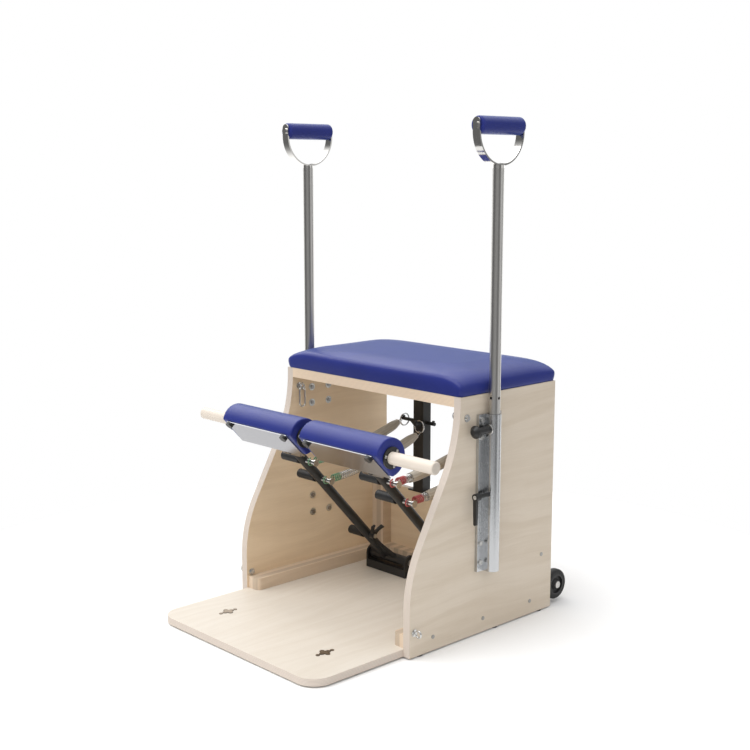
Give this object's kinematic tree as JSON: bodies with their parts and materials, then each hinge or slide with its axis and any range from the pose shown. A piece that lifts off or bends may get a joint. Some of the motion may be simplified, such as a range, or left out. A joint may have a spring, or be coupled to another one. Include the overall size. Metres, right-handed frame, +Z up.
{
  "type": "pilates chair",
  "caption": "Split-pedal exercise chair with a birch-board frame, padded seat, sprung padded pedals joined by a wooden rod, sliding hand poles and rear wheels.",
  "frame": {"origin": "on the floor, in the middle of the chair's overall width and depth", "axes": "+X across the chair to its right as seen from the front, -Y towards the front edge of the base board, +Z up along the hand poles"},
  "size_m": [0.856, 0.88, 1.247],
  "materials": {
    "birch_board": "clear satin",
    "rod_wood": "clear satin",
    "blue_cover": "soft sheen",
    "black_steel": "satin",
    "grey_plate": "satin",
    "black_rubber": "matt",
    "black_plastic": "matt",
    "satin_aluminium": "anodised satin",
    "bright_steel": "brushed",
    "zinc_steel": "bright zinc",
    "spring_steel": "bright",
    "grey_fabric": "woven",
    "tyre": "matt",
    "hub": "satin"
  },
  "bodies": {
    "frame": {"side_panel_left": "birch_board", "side_panel_right": "birch_board", "base_board": "birch_board", "seat_board": "birch_board", "back_panel": "birch_board", "battens": "birch_board", "seat_cushion": "blue_cover", "feet": "black_rubber", "fixings": "zinc_steel", "spring_post_left": "black_steel", "spring_post_right": "black_steel", "eyes_and_rings": "spring_steel", "pole_guide_left": "satin_aluminium", "pole_guide_right": "satin_aluminium", "guide_bushes": "black_plastic", "guide_fixings": "zinc_steel", "pivot_bracket_left": "black_steel", "pivot_bracket_right": "black_steel", "axles": "zinc_steel", "wheel_brackets": "zinc_steel"},
    "pedal_left": {"pedal_arm_left": "black_steel", "bushes_left": "black_plastic", "cross_bars_left": "black_steel", "bar_sleeves_left": "black_rubber", "pedal_plate_left": "grey_plate", "plate_bolts_left": "black_plastic", "pedal_pad_left": "blue_cover"},
    "wing_left": {"wing_knob_left": "black_plastic"},
    "carrier_left": {"pole_foot_left": "black_plastic"},
    "hand_pole_left": {"handle_left": "bright_steel", "grip_left": "blue_cover"},
    "plunger_left": {"plunger_knob_left": "black_plastic"},
    "lever_left": {"clamp_lever_left": "black_plastic"},
    "wheel_left": {"wheel_hub_left": "hub", "wheel_tyre_left": "tyre"},
    "spring_arm_upper_left": {"spring_sleeve_upper_left": "grey_fabric"},
    "spring_eye_upper_left": {"spring_upper_left": "spring_steel"},
    "spring_arm_lower_left": {"spring_sleeve_lower_left": "grey_fabric"},
    "spring_eye_lower_left": {"spring_lower_left": "spring_steel"},
    "pedal_right": {"pedal_arm_right": "black_steel", "bushes_right": "black_plastic", "cross_bars_right": "black_steel", "bar_sleeves_right": "black_rubber", "pedal_plate_right": "grey_plate", "plate_bolts_right": "black_plastic", "pedal_pad_right": "blue_cover"},
    "wing_right": {"wing_knob_right": "black_plastic"},
    "carrier_right": {"pole_foot_right": "black_plastic"},
    "hand_pole_right": {"handle_right": "bright_steel", "grip_right": "blue_cover"},
    "plunger_right": {"plunger_knob_right": "black_plastic"},
    "lever_right": {"clamp_lever_right": "black_plastic"},
    "wheel_right": {"wheel_hub_right": "hub", "wheel_tyre_right": "tyre"},
    "spring_arm_upper_right": {"spring_sleeve_upper_right": "grey_fabric"},
    "spring_eye_upper_right": {"spring_upper_right": "spring_steel"},
    "spring_arm_lower_right": {"spring_sleeve_lower_right": "grey_fabric"},
    "spring_eye_lower_right": {"spring_lower_right": "spring_steel"},
    "rod": {"dowel": "rod_wood"},
    "hook": {"snap_hook": "spring_steel"}
  },
  "joints": [
    {"name": "pedal_left_swing", "type": "hinge", "parent": "frame", "child": "pedal_left", "pos_m": [-0.151, 0.216, 0.062], "axis": [1, 0, 0], "range_deg": [-5, 42], "stiffness_Nm_per_rad": 40, "springref_deg": -15.01},
    {"name": "pedal_right_swing", "type": "hinge", "parent": "frame", "child": "pedal_right", "pos_m": [0.151, 0.216, 0.062], "axis": [1, 0, 0], "range_deg": [-5, 42], "stiffness_Nm_per_rad": 40, "springref_deg": -15.01},
    {"name": "spring_upper_left_tilt", "type": "hinge", "parent": "frame", "child": "spring_arm_upper_left", "pos_m": [-0.187, 0.3044, 0.43], "axis": [1, 0, 0], "range_deg": [-3, 25.22]},
    {"name": "spring_upper_left_stretch", "type": "slide", "parent": "spring_arm_upper_left", "child": "spring_eye_upper_left", "axis": [0, -0.9932, -0.1167], "range_m": [-0.02743, 0.23042], "deforming": ["spring_upper_left"]},
    {"name": "spring_lower_left_tilt", "type": "hinge", "parent": "frame", "child": "spring_arm_lower_left", "pos_m": [-0.118, 0.31, 0.4034], "axis": [1, 0, 0], "range_deg": [-2.55, 21.46]},
    {"name": "spring_lower_left_stretch", "type": "slide", "parent": "spring_arm_lower_left", "child": "spring_eye_lower_left", "axis": [0, -0.9751, -0.2216], "range_m": [-0.02389, 0.20067], "deforming": ["spring_lower_left"]},
    {"name": "spring_upper_right_tilt", "type": "hinge", "parent": "frame", "child": "spring_arm_upper_right", "pos_m": [0.115, 0.3044, 0.43], "axis": [1, 0, 0], "range_deg": [-3, 25.22]},
    {"name": "spring_upper_right_stretch", "type": "slide", "parent": "spring_arm_upper_right", "child": "spring_eye_upper_right", "axis": [0, -0.9932, -0.1167], "range_m": [-0.02743, 0.23042], "deforming": ["spring_upper_right"]},
    {"name": "spring_lower_right_tilt", "type": "hinge", "parent": "frame", "child": "spring_arm_lower_right", "pos_m": [0.184, 0.31, 0.4034], "axis": [1, 0, 0], "range_deg": [-2.55, 21.46]},
    {"name": "spring_lower_right_stretch", "type": "slide", "parent": "spring_arm_lower_right", "child": "spring_eye_lower_right", "axis": [0, -0.9751, -0.2216], "range_m": [-0.02389, 0.20067], "deforming": ["spring_lower_right"]},
    {"name": "rod_slide", "type": "slide", "parent": "pedal_left", "child": "rod", "axis": [1, 0, 0], "range_m": [-0.13, 0.13]},
    {"name": "wing_left_turn", "type": "hinge", "parent": "pedal_left", "child": "wing_left", "pos_m": [-0.121, 0.14479, 0.13917], "axis": [1, 0, 0], "continuous": true},
    {"name": "pole_left_height", "type": "slide", "parent": "frame", "child": "carrier_left", "axis": [0, 0, 1], "range_m": [-0.075, 0.15]},
    {"name": "pole_left_swivel", "type": "hinge", "parent": "carrier_left", "child": "hand_pole_left", "pos_m": [-0.338, 0.1, 0.4], "axis": [0, 0, 1], "range_deg": [0, 90]},
    {"name": "plunger_left_pull", "type": "slide", "parent": "frame", "child": "plunger_left", "axis": [0, -1, 0], "range_m": [0, 0.008], "stiffness_N_per_m": 900, "springref_m": -0.006},
    {"name": "lever_left_turn", "type": "hinge", "parent": "frame", "child": "lever_left", "pos_m": [-0.338, 0.06, 0.358], "axis": [0, 1, 0], "range_deg": [0, 90]},
    {"name": "wheel_left_spin", "type": "hinge", "parent": "frame", "child": "wheel_left", "pos_m": [-0.292, 0.4, 0.048], "axis": [1, 0, 0], "continuous": true},
    {"name": "wing_right_turn", "type": "hinge", "parent": "pedal_right", "child": "wing_right", "pos_m": [0.181, 0.14479, 0.13917], "axis": [1, 0, 0], "continuous": true},
    {"name": "pole_right_height", "type": "slide", "parent": "frame", "child": "carrier_right", "axis": [0, 0, 1], "range_m": [-0.075, 0.15]},
    {"name": "pole_right_swivel", "type": "hinge", "parent": "carrier_right", "child": "hand_pole_right", "pos_m": [0.338, 0.1, 0.4], "axis": [0, 0, 1], "range_deg": [-90, 0]},
    {"name": "plunger_right_pull", "type": "slide", "parent": "frame", "child": "plunger_right", "axis": [0, -1, 0], "range_m": [0, 0.008], "stiffness_N_per_m": 900, "springref_m": -0.006},
    {"name": "lever_right_turn", "type": "hinge", "parent": "frame", "child": "lever_right", "pos_m": [0.338, 0.06, 0.358], "axis": [0, -1, 0], "range_deg": [0, 90]},
    {"name": "wheel_right_spin", "type": "hinge", "parent": "frame", "child": "wheel_right", "pos_m": [0.292, 0.4, 0.048], "axis": [1, 0, 0], "continuous": true},
    {"name": "hook_swing", "type": "hinge", "parent": "frame", "child": "hook", "pos_m": [-0.282, 0.025, 0.549], "axis": [0, -1, 0], "range_deg": [-10, 60]}
  ],
  "couplings": [
    {"joint": "pedal_right_swing", "follows": "pedal_left_swing", "ratio": 1},
    {"joint": "spring_upper_left_tilt", "follows": "pedal_left_swing", "ratio": 0.60058},
    {"joint": "spring_upper_left_stretch", "follows": "pedal_left_swing", "m_per_rad": 0.31434},
    {"joint": "spring_lower_left_tilt", "follows": "pedal_left_swing", "ratio": 0.51084},
    {"joint": "spring_lower_left_stretch", "follows": "pedal_left_swing", "m_per_rad": 0.27375},
    {"joint": "spring_upper_right_tilt", "follows": "pedal_left_swing", "ratio": 0.60058},
    {"joint": "spring_upper_right_stretch", "follows": "pedal_left_swing", "m_per_rad": 0.31434},
    {"joint": "spring_lower_right_tilt", "follows": "pedal_left_swing", "ratio": 0.51084},
    {"joint": "spring_lower_right_stretch", "follows": "pedal_left_swing", "m_per_rad": 0.27375}
  ]
}
